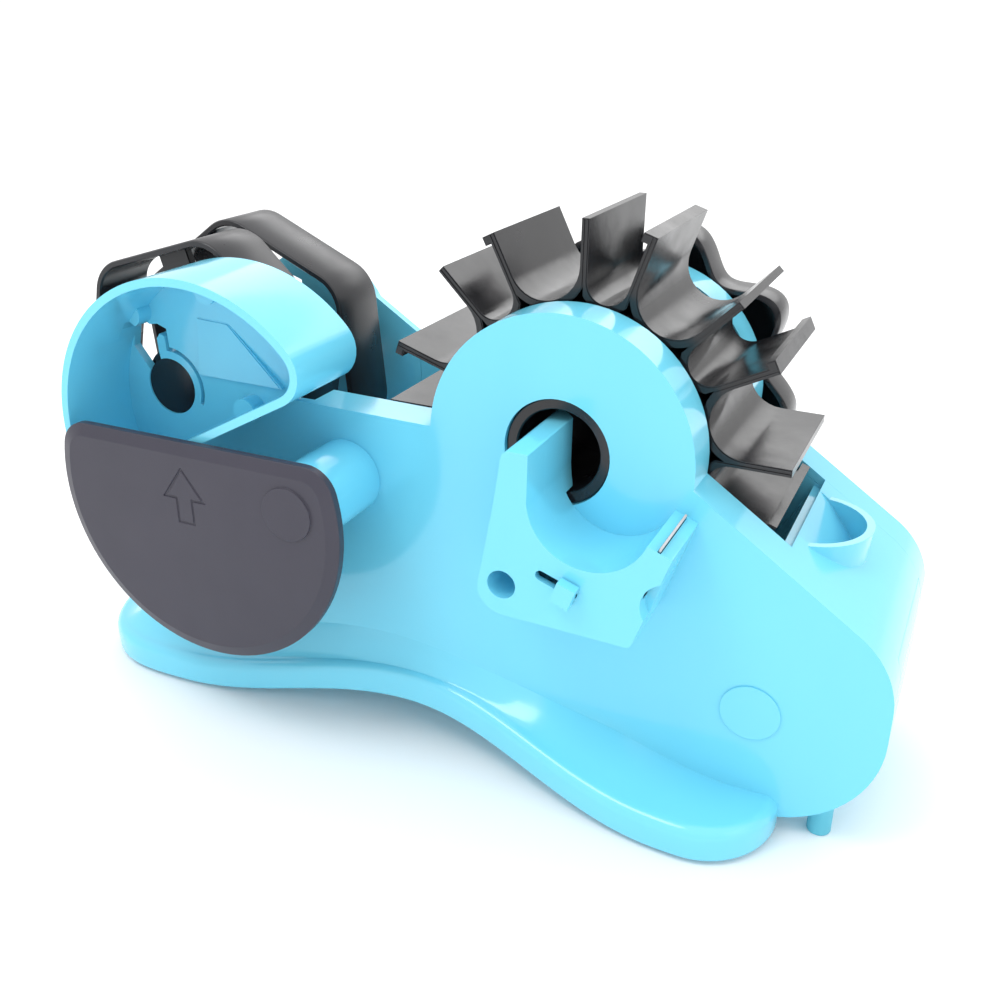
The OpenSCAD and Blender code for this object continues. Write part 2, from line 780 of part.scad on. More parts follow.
module mini_shell(y_open, y_face, side) {
    floor_y = y_face + side * 1.8;
    difference() {
        union() {
            difference() {
                along_y(y_open, y_face) mini_face();
                along_y(y_open - side, floor_y) mini_face(1.8);
            }
            rod(mini_hole_c, mini_hole_r + 1.6, y_open, y_face);
            for (p = mini_screw_places) rod(p, 2.6, y_open, y_face);
        }
        rod(mini_hole_c, mini_hole_r, y_open - side, y_face - side);
        blade_slit();
    }
}

module blade_slit() {
    translate([blade_base.x, -mini_joint_y, blade_base.y]) rotate([0, atan2(blade_dir.x, blade_dir.y), 0])
        translate([-0.4, -9.6, -5]) cube([0.8, 19.2, 12]);
}

module slot_line(w, a, b) {
    translate(a) rotate(-slot_turn) {
        translate([0, -w / 2]) square([norm(b - a), w]);
        circle(w / 2);
        translate([norm(b - a), 0]) circle(w / 2);
    }
}

slot_b = slot_a + slot_dir * (slider_travel + 2.4);

module mini_front_shell() color(blue) difference() {
    mini_shell(-mini_joint_y, -mini_y, 1);
    along_y(-mini_y - 1, -mini_y + 3) slot_line(slot_w, slot_a, slot_b);
    for (p = mini_screw_places) rod(p, 1.1, -mini_joint_y + 1, -mini_y + 4);
    translate([33.6, -mini_y - 1, 63.6]) rotate([-90, 0, 0]) cylinder(r = 6.2, h = 5);
}

module mini_rear_shell() color(blue) {
    difference() {
        mini_shell(-mini_joint_y, -side_y - 0.02, -1);
        for (p = mini_screw_places) {
            rod(p, 1.3, -mini_joint_y - 1, -side_y + 1);
            rod(p, 2.5, -side_y - 2.2, -side_y + 1);
        }
        for (p = mini_peg_places) rod(p, 2.47, -side_y - 1, -side_y + 1);
    }
}

module mini_pegs() color(blue) {
    for (p = mini_peg_places) rod(p, 2.45, -side_y - 1, -side_y + peg_len);
}

// Rear end of the left arm, which plugs into the drum's hollow journal
module mini_tongue() color(blue) {
    intersection() {
        along_y(-side_y - 0.02, -side_y + 9.5) mini_face();
        rod(drum_c, drum_bore_r - 0.6, -side_y - 1, -side_y + 20);
        translate([-9, -side_y - 1, mini_base + 60]) cube([12, 30, 60]);
        translate([-12.4, -side_y - 5, mini_base + 60]) cylinder(r = 17.6, h = 60);
    }
}

module mini_screws() color(steel) {
    for (p = mini_screw_places) {
        rod(p, 2.3, -side_y - 2.2, -side_y - 0.8);
        rod(p, 1.05, -mini_joint_y - 4, -side_y - 2.2);
    }
}

module mini_blade() color(steel) {
    translate([blade_base.x, -mini_joint_y, blade_base.y]) rotate([0, atan2(blade_dir.x, blade_dir.y), 0])
        translate([0, 0, 1.6]) rotate([0, 90, 0]) saw_strip(18.6, 6, 0.5, 1.2);
}

module slide_button() color(blue) {
    at = slider_rest;
    along_y(-mini_y - 1, -mini_y + 2.6) slot_line(slot_w - 0.4 * 2, at - slot_dir * 1, at + slot_dir * 1);
    along_y(-mini_y - 3.2, -mini_y - 0.4) translate(at) rotate(-slot_turn) difference() {
        translate([-2.2, -2.6]) square([4.4, 5.2]);
        for (x = [-1.3, 0, 1.3]) translate([x - 0.25, -2.7]) square([0.5, 0.5]);
    }
}

module slide_tongue() color(steel) {
    at = slider_rest;
    along_y(-mini_y + 2.6, -mini_y + 3.6) translate(at) rotate(-slot_turn) translate([-2.5, -2]) square([6, 4]);
}

base();
near_side_shell();
far_side_shell();
near_liner();
far_liner();
drum_well();
deck_cover();
nose_front();
ballast_weight();
rubber_feet();
base_screws();
liner_screws();
screw_plugs();
cut_blade();
blade_holder();
drum();
drum_hub();
hand_wheel();
wheel_screw();
wheel_cap();
reel_shaft();
near_spacer();
far_spacer();
near_core();
far_core();
core_post();
post_screw();
cover_plate();
plate_pin();
mini_front_shell();
mini_rear_shell();
mini_pegs();
mini_tongue();
mini_blade();
mini_screws();
slide_button();
slide_tongue();
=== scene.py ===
import bpy, bmesh, json, math
from mathutils import Matrix, Vector


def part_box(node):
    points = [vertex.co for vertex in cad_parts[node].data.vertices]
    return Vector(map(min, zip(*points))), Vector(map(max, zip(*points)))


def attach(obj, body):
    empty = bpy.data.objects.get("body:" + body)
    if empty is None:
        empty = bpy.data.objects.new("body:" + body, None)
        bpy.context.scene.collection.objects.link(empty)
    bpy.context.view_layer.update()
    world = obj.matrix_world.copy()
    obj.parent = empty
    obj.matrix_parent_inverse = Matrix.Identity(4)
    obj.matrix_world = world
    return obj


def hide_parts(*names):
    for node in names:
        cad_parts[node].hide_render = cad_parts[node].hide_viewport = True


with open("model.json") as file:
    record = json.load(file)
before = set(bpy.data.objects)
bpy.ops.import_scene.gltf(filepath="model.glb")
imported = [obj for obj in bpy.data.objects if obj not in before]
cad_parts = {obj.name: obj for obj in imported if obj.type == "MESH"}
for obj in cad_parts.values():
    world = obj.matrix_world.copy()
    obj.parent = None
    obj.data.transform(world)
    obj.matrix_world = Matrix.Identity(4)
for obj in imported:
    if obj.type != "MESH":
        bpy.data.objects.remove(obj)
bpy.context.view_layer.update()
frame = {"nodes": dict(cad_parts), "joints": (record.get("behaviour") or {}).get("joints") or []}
nodes = frame["nodes"]
mm = 0.001
print("frame loaded:", len(nodes), "parts")

# places shared with the frame

hinges = {j["name"]: Vector(j["pos_m"]) for j in frame["joints"] if j["type"] == "hinge"}
drumAxis = Vector((0, 0, hinges["drum_spin"].z))
reelAxis = Vector((hinges["near_core_spin"].x, 0, hinges["near_core_spin"].z))
postAxis = Vector((hinges["cover_swing"].x, 0, hinges["cover_swing"].z))


def linked(name, data):
    obj = bpy.data.objects.new(name, data)
    bpy.context.scene.collection.objects.link(obj)
    return obj


def setInputs(node, values):
    for label, value in values.items():
        node.inputs[label].default_value = value


# materials: every pattern is on Object coordinates

def newMaterial(name):
    mat = bpy.data.materials.new(name)
    mat.use_nodes = True
    tree = mat.node_tree
    tree.nodes.clear()
    out = tree.nodes.new("ShaderNodeOutputMaterial")
    shader = tree.nodes.new("ShaderNodeBsdfPrincipled")
    tree.links.new(shader.outputs[0], out.inputs[0])
    return mat, tree, shader


def patternSpace(tree, scale=(1, 1, 1)):
    coord = tree.nodes.new("ShaderNodeTexCoord")
    mapping = tree.nodes.new("ShaderNodeMapping")
    setInputs(mapping, {"Scale": scale})
    tree.links.new(coord.outputs["Object"], mapping.inputs["Vector"])
    return mapping.outputs[0]


def noiseOf(tree, space, scale, detail=3, rough=0.5):
    noise = tree.nodes.new("ShaderNodeTexNoise")
    setInputs(noise, {"Scale": scale, "Detail": detail, "Roughness": rough})
    tree.links.new(space, noise.inputs["Vector"])
    return noise.outputs["Fac"]


def spread(tree, value, low, high, fromLow=0.3, fromHigh=0.7):
    node = tree.nodes.new("ShaderNodeMapRange")
    setInputs(node, {"From Min": fromLow, "From Max": fromHigh, "To Min": low, "To Max": high})
    tree.links.new(value, node.inputs["Value"])
    return node.outputs[0]


def between(tree, value, colourA, colourB, fromLow=0.35, fromHigh=0.65):
    ramp = tree.nodes.new("ShaderNodeValToRGB")
    for stop, place, colour in zip(ramp.color_ramp.elements, (fromLow, fromHigh), (colourA, colourB)):
        stop.position = place
        stop.color = (*colour, 1)
    tree.links.new(value, ramp.inputs[0])
    return ramp.outputs["Color"]


def bumps(tree, shader, layers):
    # layers holds (height, strength, distance in metres), coarse to fine
    last = None
    for height, strength, distance in layers:
        bump = tree.nodes.new("ShaderNodeBump")
        setInputs(bump, {"Strength": strength, "Distance": distance})
        tree.links.new(height, bump.inputs["Height"])
        if last:
            tree.links.new(last, bump.inputs["Normal"])
        last = bump.outputs[0]
    tree.links.new(last, shader.inputs["Normal"])


def mouldedPlastic(name, cfg):
    mat, tree, shader = newMaterial(name)
    space = patternSpace(tree)
    flow = noiseOf(tree, patternSpace(tree, (1, 1, 0.35)), cfg["flowScale"], 4, 0.55)
    handled = noiseOf(tree, space, cfg["smudgeScale"], 5, 0.6)
    skin = noiseOf(tree, space, cfg["skinScale"], 2, 0.5)
    tree.links.new(between(tree, flow, cfg["shade"], cfg["tint"]), shader.inputs["Base Color"])
    tree.links.new(spread(tree, handled, cfg["gloss"][0], cfg["gloss"][1]), shader.inputs["Roughness"])
    bumps(tree, shader, [(flow, cfg["waviness"], 0.6 * mm), (skin, cfg["skinDepth"], 0.06 * mm)])
    setInputs(shader, {"IOR": cfg["ior"], "Coat Weight": cfg["coat"], "Coat Roughness": cfg["coatRough"]})
    return mat


def brushedSteel(name, cfg):
    mat, tree, shader = newMaterial(name)
    grain = noiseOf(tree, patternSpace(tree, cfg["grain"]), cfg["grainScale"], 3, 0.6)
    cloud = noiseOf(tree, patternSpace(tree), cfg["cloudScale"], 3, 0.5)
    setInputs(shader, {"Metallic": 1})
    tree.links.new(between(tree, cloud, cfg["dark"], cfg["light"]), shader.inputs["Base Color"])
    tree.links.new(spread(tree, grain, cfg["rough"][0], cfg["rough"][1]), shader.inputs["Roughness"])
    bumps(tree, shader, [(grain, 0.25, 0.03 * mm)])
    return mat


plasticLooks = {
    "skyPlastic": {"tint": (0.19, 0.70, 0.90), "shade": (0.175, 0.672, 0.885), "gloss": (0.11, 0.18),
                   "flowScale": 14, "smudgeScale": 60, "skinScale": 1800, "waviness": 0.05, "skinDepth": 0.12,
                   "ior": 1.5, "coat": 0.25, "coatRough": 0.08},
    "inkPlastic": {"tint": (0.016, 0.016, 0.019), "shade": (0.010, 0.010, 0.012), "gloss": (0.14, 0.28),
                   "flowScale": 35, "smudgeScale": 90, "skinScale": 2200, "waviness": 0.16, "skinDepth": 0.12,
                   "ior": 1.52, "coat": 0.0, "coatRough": 0.1},
    "slatePlastic": {"tint": (0.046, 0.043, 0.064), "shade": (0.038, 0.036, 0.054), "gloss": (0.38, 0.5),
                     "flowScale": 22, "smudgeScale": 45, "skinScale": 3200, "waviness": 0.04, "skinDepth": 0.5,
                     "ior": 1.48, "coat": 0.0, "coatRough": 0.2},
    "corePlastic": {"tint": (0.022, 0.022, 0.026), "shade": (0.014, 0.014, 0.017), "gloss": (0.24, 0.36),
                    "flowScale": 26, "smudgeScale": 60, "skinScale": 2600, "waviness": 0.08, "skinDepth": 0.25,
                    "ior": 1.5, "coat": 0.0, "coatRough": 0.2},
    "padRubber": {"tint": (0.13, 0.55, 0.70), "shade": (0.10, 0.48, 0.62), "gloss": (0.5, 0.65),
                  "flowScale": 60, "smudgeScale": 120, "skinScale": 1500, "waviness": 0.1, "skinDepth": 0.6,
                  "ior": 1.45, "coat": 0.0, "coatRough": 0.3},
}
metalLooks = {
    "bladeSteel": {"dark": (0.52, 0.53, 0.55), "light": (0.68, 0.69, 0.71), "rough": (0.22, 0.36),
                   "grain": (1, 0.05, 1), "grainScale": 900, "cloudScale": 140},
    "castIron": {"dark": (0.16, 0.16, 0.17), "light": (0.26, 0.26, 0.27), "rough": (0.55, 0.8),
                 "grain": (1, 1, 1), "grainScale": 900, "cloudScale": 140},
}

finishes = {name: mouldedPlastic(name, cfg) for name, cfg in plasticLooks.items()}
finishes.update({name: brushedSteel(name, cfg) for name, cfg in metalLooks.items()})
sky, ink, slate = finishes["skyPlastic"], finishes["inkPlastic"], finishes["slatePlastic"]
coreInk, rubber, steel = finishes["corePlastic"], finishes["padRubber"], finishes["bladeSteel"]
print("materials ready:", len(finishes))


# mesh helpers

def addPiece(name, mesh, mat, body, stands=(), soften=30):
    # soften is the angle in degrees above which an edge stays sharp; 0 keeps the mesh's own shading
    obj = linked(name, mesh)
    mesh.materials.clear()
    mesh.materials.append(mat)
    if soften:
        mesh.shade_smooth()
        mesh.set_sharp_from_angle(angle=math.radians(soften))
    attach(obj, body)
    if stands:
        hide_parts(*stands)
    return obj


def bake(obj):
    # the object's evaluated mesh as a plain one, with the object itself removed
    deps = bpy.context.evaluated_depsgraph_get()
    deps.update()
    mesh = bpy.data.meshes.new_from_object(obj.evaluated_get(deps), depsgraph=deps)
    bpy.data.objects.remove(obj)
    return mesh


def meshOf(name, verts, faces):
    mesh = bpy.data.meshes.new(name)
    mesh.from_pydata([tuple(v) for v in verts], [], faces)
    bm = bmesh.new()
    bm.from_mesh(mesh)
    bmesh.ops.remove_doubles(bm, verts=bm.verts, dist=1e-7)
    bmesh.ops.recalc_face_normals(bm, faces=bm.faces)
    bm.to_mesh(mesh)
    bm.free()
    mesh.update()
    return mesh


def loopsToMesh(name, loops, capEnds=True):
    # closed loops of points, each joined to the next
    verts = [v for loop in loops for v in loop]
    n = len(loops[0])
    faces = []
    for k in range(len(loops) - 1):
        for i in range(n):
            j = (i + 1) % n
            faces.append((k * n + i, k * n + j, (k + 1) * n + j, (k + 1) * n + i))
    if capEnds:
        faces.append(tuple(range(n))[::-1])
        faces.append(tuple((len(loops) - 1) * n + i for i in range(n)))
    return meshOf(name, verts, faces)


def turned(name, section, axis, steps, back=0.0):
    # section(angle) gives the (radius, y) pairs in mm of a closed section, set at that angle less back
    loops = []
    for k in range(steps + 1):
        a = 2 * math.pi * k / steps
        g = a - back
        loops.append([(axis.x + r * mm * math.cos(g), y * mm, axis.z + r * mm * math.sin(g)) for r, y in section(a)])
    return loopsToMesh(name, loops, False)


def lathe(name, profile, axis, steps=96):
    return turned(name, lambda a: profile, axis, steps)


def uprightLathe(name, profile, steps=40):
    # profile holds (radius, z) pairs from the axis round to the axis again
    loops = []
    for k in range(steps + 1):
        a = 2 * math.pi * k / steps
        loops.append([(r * mm * math.cos(a), r * mm * math.sin(a), z * mm) for r, z in profile])
    return loopsToMesh(name, loops, False)


def roundedCopy(node, widths, segments=3, angle=28):
    # a copy of the CAD part with its edges eased: widths(midpoint) gives an edge's radius in mm, up to widest
    widest = 4
    mesh = nodes[node].data.copy()
    bm = bmesh.new()
    bm.from_mesh(mesh)
    bmesh.ops.remove_doubles(bm, verts=bm.verts, dist=2e-6)
    bmesh.ops.dissolve_degenerate(bm, dist=1e-6, edges=bm.edges)
    bmesh.ops.dissolve_limit(bm, angle_limit=math.radians(0.4), verts=bm.verts, edges=bm.edges)
    layer = bm.edges.layers.float.get("bevel_weight_edge") or bm.edges.layers.float.new("bevel_weight_edge")
    for e in bm.edges:
        if len(e.link_faces) != 2 or e.calc_face_angle(0) < math.radians(angle):
            continue
        mid = (e.verts[0].co + e.verts[1].co) / (2 * mm)
        e[layer] = min(1, widths(mid) / widest)
    bm.to_mesh(mesh)
    bm.free()
    obj = linked("rounding", mesh)
    bevel = obj.modifiers.new("ease", "BEVEL")
    bevel.width = widest * mm
    bevel.segments = segments
    bevel.limit_method = "WEIGHT"
    bevel.use_clamp_overlap = True
    bevel.miter_outer = "MITER_ARC"
    mesh.shade_smooth()
    evened = obj.modifiers.new("evened", "WEIGHTED_NORMAL")  # keeps the broad faces flat
    evened.mode = "FACE_AREA_WITH_ANGLE"
    evened.weight = 60
    evened.keep_sharp = True
    return bake(obj)


def geometryTree(name, inputs):
    # inputs holds (label, socket kind, value)
    tree = bpy.data.node_groups.new(name, "GeometryNodeTree")
    tree.interface.new_socket("Geometry", in_out="INPUT", socket_type="NodeSocketGeometry")
    for label, kind, value in inputs:
        socket = tree.interface.new_socket(label, in_out="INPUT", socket_type="NodeSocket" + kind)
        if value is not None:
            socket.default_value = value
    tree.interface.new_socket("Geometry", in_out="OUTPUT", socket_type="NodeSocketGeometry")
    return tree


def paintAndOutput(tree, geometry, mat):
    paint = tree.nodes.new("GeometryNodeSetMaterial")
    setInputs(paint, {"Material": mat})
    tree.links.new(geometry, paint.inputs["Geometry"])
    tree.links.new(paint.outputs[0], tree.nodes.new("NodeGroupOutput").inputs["Geometry"])


def runTree(tree, mesh, values, name):
    obj = linked(name, mesh)
    mod = obj.modifiers.new("pattern", "NODES")
    mod.node_group = tree
    for item in tree.interface.items_tree:
        if item.in_out == "INPUT" and item.name in values:
            mod[item.identifier] = values[item.name]
    return bake(obj)


def ringPattern(name, mat):
    # copies the incoming mesh round an axis along Y
    tree = geometryTree(name, [("Count", "Int", 8), ("Axis", "Vector", (0, 0, 0)), ("Turn", "Float", 0.0)])
    n, link = tree.nodes, tree.links.new
    src = n.new("NodeGroupInput")
    line = n.new("GeometryNodeMeshLine")
    setInputs(line, {"Offset": (0, 0, 0)})
    link(src.outputs["Count"], line.inputs["Count"])
    index = n.new("GeometryNodeInputIndex")
    step = n.new("ShaderNodeMath")
    step.operation = "DIVIDE"
    setInputs(step, {0: 2 * math.pi})
    link(src.outputs["Count"], step.inputs[1])
    angle = n.new("ShaderNodeMath")
    angle.operation = "MULTIPLY_ADD"
    link(index.outputs[0], angle.inputs[0])
    link(step.outputs[0], angle.inputs[1])
    link(src.outputs["Turn"], angle.inputs[2])
    spin = n.new("ShaderNodeCombineXYZ")
    link(angle.outputs[0], spin.inputs["Y"])
    place = n.new("GeometryNodeInstanceOnPoints")
    link(line.outputs["Mesh"], place.inputs["Points"])
    link(src.outputs["Geometry"], place.inputs["Instance"])
    link(spin.outputs[0], place.inputs["Rotation"])
    move = n.new("GeometryNodeTransform")
    real = n.new("GeometryNodeRealizeInstances")
    link(place.outputs[0], real.inputs[0])
    link(real.outputs[0], move.inputs["Geometry"])
    link(src.outputs["Axis"], move.inputs["Translation"])
    paintAndOutput(tree, move.outputs[0], mat)
    return tree


def placedPattern(name, mat):
    # puts the incoming mesh at every vertex of the Places object
    tree = geometryTree(name, [("Places", "Object", None), ("Size", "Float", 1.0)])
    n, link = tree.nodes, tree.links.new
    src = n.new("NodeGroupInput")
    spots = n.new("GeometryNodeObjectInfo")
    link(src.outputs["Places"], spots.inputs["Object"])
    place = n.new("GeometryNodeInstanceOnPoints")
    link(spots.outputs["Geometry"], place.inputs["Points"])
    link(src.outputs["Geometry"], place.inputs["Instance"])
    link(src.outputs["Size"], place.inputs["Scale"])
    real = n.new("GeometryNodeRealizeInstances")
    link(place.outputs[0], real.inputs[0])
    paintAndOutput(tree, real.outputs[0], mat)
    return tree


def putAt(name, mesh, spots, mat):
    # a copy of the mesh at each spot, given in mm
    spotMesh = bpy.data.meshes.new(name + "Spots")
    spotMesh.from_pydata([tuple(c * mm for c in s) for s in spots], [], [])
    spotObj = linked(name + "Spots", spotMesh)
    out = runTree(placedPattern(name, mat), mesh, {"Places": spotObj, "Size": 1.0}, name)
    bpy.data.objects.remove(spotObj)
    return out


# housing walls and nose

# edge radii and, in mm, where each edge of a wall lies
wallLook = {"discEdge": 1.8, "discInner": 0.8, "wallEdge": 1.5, "wallInner": 0.7, "holeEdge": 0.35, "cupRim": 0.7,
            "smallEdge": 0.3, "holeZone": 14.5, "discZone": 33.5, "discLow": -4, "wallFrom": -67,
            "faces": (20.5, 31.5), "cupFace": 52, "postZone": 12, "plugZone": 8.5, "plug": (49, 31)}


def wallWidths(side):
    c = wallLook
    innerY, outerY = c["faces"]
    smallSpots = ((1000 * postAxis.x, 1000 * postAxis.z, c["postZone"]), (*c["plug"], c["plugZone"]))

    def width(p):
        y = p.y * side
        toDrum = math.hypot(p.x, p.z - 1000 * drumAxis.z)
        if toDrum < c["holeZone"]:
            return c["holeEdge"]
        if p.x > c["wallFrom"] and (abs(y - outerY) < 0.4 or abs(y - innerY) < 0.4):
            outside = y > 30
            if toDrum < c["discZone"] and p.z > 1000 * drumAxis.z + c["discLow"]:
                return c["discEdge"] if outside else c["discInner"]
            if any(math.hypot(p.x - x, p.z - z) < reach for x, z, reach in smallSpots):
                return c["smallEdge"]
            return c["wallEdge"] if outside else c["wallInner"]
        return c["cupRim"] if y > c["cupFace"] else c["smallEdge"]
    return width


nearWall = addPiece("nearWallShell", roundedCopy("near_side_shell", wallWidths(-1)), sky, "housing",
                    ["near_side_shell"], 0)
farWall = addPiece("farWallShell", roundedCopy("far_side_shell", wallWidths(1)), sky, "housing",
                   ["far_side_shell"], 0)
print("walls:", len(nearWall.data.polygons), len(farWall.data.polygons))

easedLook = {"deck_cover": 0.45, "nose_front": 0.3, "core_post": 0.5, "screw_plugs": 0.35, "blade_holder": 0.4}
for node, radius in easedLook.items():
    piece = addPiece(node.replace("_", "") + "Eased", roundedCopy(node, lambda p, r=radius: r), sky, "housing",
                     [node], 0)
    print(node, len(piece.data.polygons))

# base with its wavy skirt

# sizes in mm; a slope holds (rise, where it starts, over what length), and the hem (inset, height) pairs
baseLook = {"sideY": 31.5, "frontLobe": (40.0, 51.0), "rearLobe": (-116.0, 43.0), "waist": 36.5, "mid": -38.0,
            "span": 140.0, "arch": 10.0, "footGap": 1.0, "skirt": 8.5, "floor": 2.4, "front": 58.0, "rear": -150.0,
            "channelRear": -127.0, "edge": 3.0, "flare": 1.25, "noseReach": 11, "sideSlope": (6, 48, 36),
            "tailSlope": (3, -14, 54), "rearRise": 9, "squareness": 0.8, "steps": (30, 90, 40), "floorFront": 52,
            "lap": 0.3, "hem": ((1.1, 0), (0.5, 0.12), (0.12, 0.5), (0, 1.1))}


def smoothStep(t):
    t = max(0.0, min(1.0, t))
    return t * t * (3 - 2 * t)


def archZ(x):
    c = baseLook
    u = (x - c["mid"]) / c["span"]
    return c["footGap"] + (c["arch"] * (1 + math.cos(2 * math.pi * u)) / 2 if abs(u) < 0.5 else 0)


def baseHalf(x):
    c = baseLook
    end = c["frontLobe"] if x > c["mid"] else c["rearLobe"]
    return c["waist"] + (end[1] - c["waist"]) * smoothStep((x - c["mid"]) / (end[0] - c["mid"]))


def slope(x, cfg):
    rise, start, length = cfg
    return rise * smoothStep((start - x) / length)


def baseStations():
    # inner and outer points and the rise between them, round the near half from the nose to the middle of the rear
    c = baseLook
    side, (fx, fy), (rx, ry) = c["sideY"], c["frontLobe"], c["rearLobe"]
    noseSteps, sideSteps, rearSteps = c["steps"]
    out = []
    for i in range(noseSteps + 1):
        a = math.pi / 2 * i / noseSteps
        inner = (fx + c["noseReach"] * math.cos(a), side)
        outer = (fx + (c["front"] - fx) * math.cos(a), side + (fy - side) * math.sin(a))
        out.append((inner, outer, slope(inner[0], c["sideSlope"])))
    for i in range(1, sideSteps + 1):
        x = fx + (rx - fx) * i / sideSteps
        out.append(((x, side), (x, baseHalf(x)), slope(x, c["sideSlope"]) + slope(x, c["tailSlope"])))
    for i in range(1, rearSteps + 1):
        a = math.pi / 2 * (1 - i / rearSteps)
        away, across = abs(math.cos(a)) ** c["squareness"], abs(math.sin(a)) ** c["squareness"]
        inner = (rx - (rx - c["channelRear"]) * min(1, 1.6 * away), side * min(1, 1.25 * across))
        out.append((inner, (rx - (rx - c["rear"]) * away, ry * across), c["rearRise"] * smoothStep(across)))
    return out


def skirtLoop(inner, outer, rise, mirror):
    c = baseLook
    reach = math.hypot(outer[0] - inner[0], outer[1] - inner[1])
    b, h, e = archZ(outer[0]), c["skirt"], min(c["edge"], reach * 0.42)
    pts = [(0, b)] + [(reach - inset, b + up) for inset, up in c["hem"]]
    for i in range(9):
        a = math.pi / 2 * i / 8
        pts.append((reach - e + e * math.cos(a), b + h - e + e * math.sin(a)))
    for i in range(1, 9):
        k = i / 8
        pts.append(((reach - e) * (1 - k), b + h + rise * k ** c["flare"]))
    ux, uy = (outer[0] - inner[0]) / reach, (outer[1] - inner[1]) / reach
    return [((inner[0] + d * ux) * mm, (inner[1] + d * uy) * mirror * mm, z * mm) for d, z in pts]


def baseMesh():
    c = baseLook
    half = baseStations()
    loops = [skirtLoop(*spot, 1) for spot in half] + [skirtLoop(*spot, -1) for spot in half[-2::-1]]
    skirt = loopsToMesh("skirt", loops)
    floorLoops, floorSteps = [], 60
    for i in range(floorSteps + 1):
        x = c["channelRear"] - c["lap"] + (c["floorFront"] - c["channelRear"] + c["lap"]) * i / floorSteps
        low, high, s = archZ(x) + 0.02, archZ(x) + c["floor"], c["sideY"] + c["lap"]
        floorLoops.append([(x * mm, y * mm, z * mm) for y, z in ((-s, low), (s, low), (s, high), (-s, high))])
    bm = bmesh.new()
    bm.from_mesh(skirt)
    bm.from_mesh(loopsToMesh("plate", floorLoops))
    bm.to_mesh(skirt)
    bm.free()
    return skirt


baseTray = addPiece("baseTraySkirted", baseMesh(), sky, "housing", ["base"], 45)
print("base:", len(baseTray.data.polygons))

# feet, base screws and the raised panel in the cup

footLook = {"pad": 5.0, "padTop": 2.2, "peg": 2.8, "pegTop": 12.0, "midTop": 5.9,
            "padSpots": ((40, 43), (40, -43), (-122, 34), (-122, -34)), "pegSpots": ((67, 26), (67, -26))}
screwLook = {"head": 2.8, "shank": 1.25, "length": 9.0, "proud": 0.35, "slotWide": 0.7, "slotLong": 3.4,
             "slotRise": 0.02, "slotTall": 0.06, "rows": (-112, -50, 36), "aside": 26.0}
panelLook = {"corners": ((-98.4, 105.9), (-88.9, 105.4), (-72.8, 90.8), (-98.6, 91.1)), "wall": -31.5,
             "sunk": 0.2, "rise": (0.35, 0.35, 1.7, 1.7), "edge": 0.3}


def sides(bm, low, high):
    # the four-cornered sides between two rings of as many vertices
    n = len(low)
    for i in range(n):
        bm.faces.new((low[i], high[i], high[(i + 1) % n], low[(i + 1) % n]))


def footMesh(radius, top):
    r = radius
    return uprightLathe("foot", [(0, 0.5), (r * 0.45, 0.5), (r * 0.6, 0.12), (r * 0.7, 0), (r - 0.35, 0),
                                 (r - 0.1, 0.1), (r, 0.35), (r, top - 0.2), (r - 0.2, top), (0, top)])


def screwMesh():
    c = screwLook
    head, shank, tip = c["head"], c["shank"], c["length"]
    mesh = uprightLathe("screw", [(0, 0), (head - 0.9, 0), (head - 0.3, 0.18), (head, 0.6), (head, 1.3),
                                  (shank + 0.1, 1.4), (shank, 1.6), (shank, tip - 1), (0.2, tip), (0, tip)], 32)
    bm = bmesh.new()
    bm.from_mesh(mesh)
    long, wide, z = c["slotLong"] / 2 * mm, c["slotWide"] / 2 * mm, -c["slotRise"] * mm
    for turn in (0, math.pi / 2):
        spin = Matrix.Rotation(turn, 4, "Z")
        for sign in (-1, 1):
            pts = [spin @ Vector((sign * long, wide * s, z)) for s in (-1, 1)]
            pts += [spin @ Vector((sign * 0.4 * mm, wide * s, z)) for s in (1, -1)]
            low = [bm.verts.new(v) for v in pts]
            high = [bm.verts.new(v + Vector((0, 0, c["slotTall"] * mm))) for v in pts]
            bm.faces.new(low)
            bm.faces.new(high[::-1])
            sides(bm, low, high)
    bmesh.ops.recalc_face_normals(bm, faces=bm.faces)
    bm.to_mesh(mesh)
    bm.free()
    return mesh


feet = putAt("padFeet", footMesh(footLook["pad"], footLook["padTop"]),
             [(x, y, 0) for x, y in footLook["padSpots"]], rubber)
addPiece("padFeet", feet, rubber, "housing", ["rubber_feet"], 35)
middle = footMesh(footLook["pad"], footLook["midTop"])
addPiece("middleFoot", middle, rubber, "housing", ["rubber_feet"], 35)
pegs = putAt("nosePegs", footMesh(footLook["peg"], footLook["pegTop"]),
             [(x, y, 0) for x, y in footLook["pegSpots"]], rubber)
addPiece("nosePegs", pegs, rubber, "housing", ["rubber_feet"], 35)
screwSpots = [(x, y, archZ(x) - screwLook["proud"]) for x in screwLook["rows"]
              for y in (-screwLook["aside"], screwLook["aside"])]
screws = putAt("baseScrews", screwMesh(), screwSpots, steel)
addPiece("baseScrewsCrossed", screws, steel, "housing", ["base_screws"], 35)

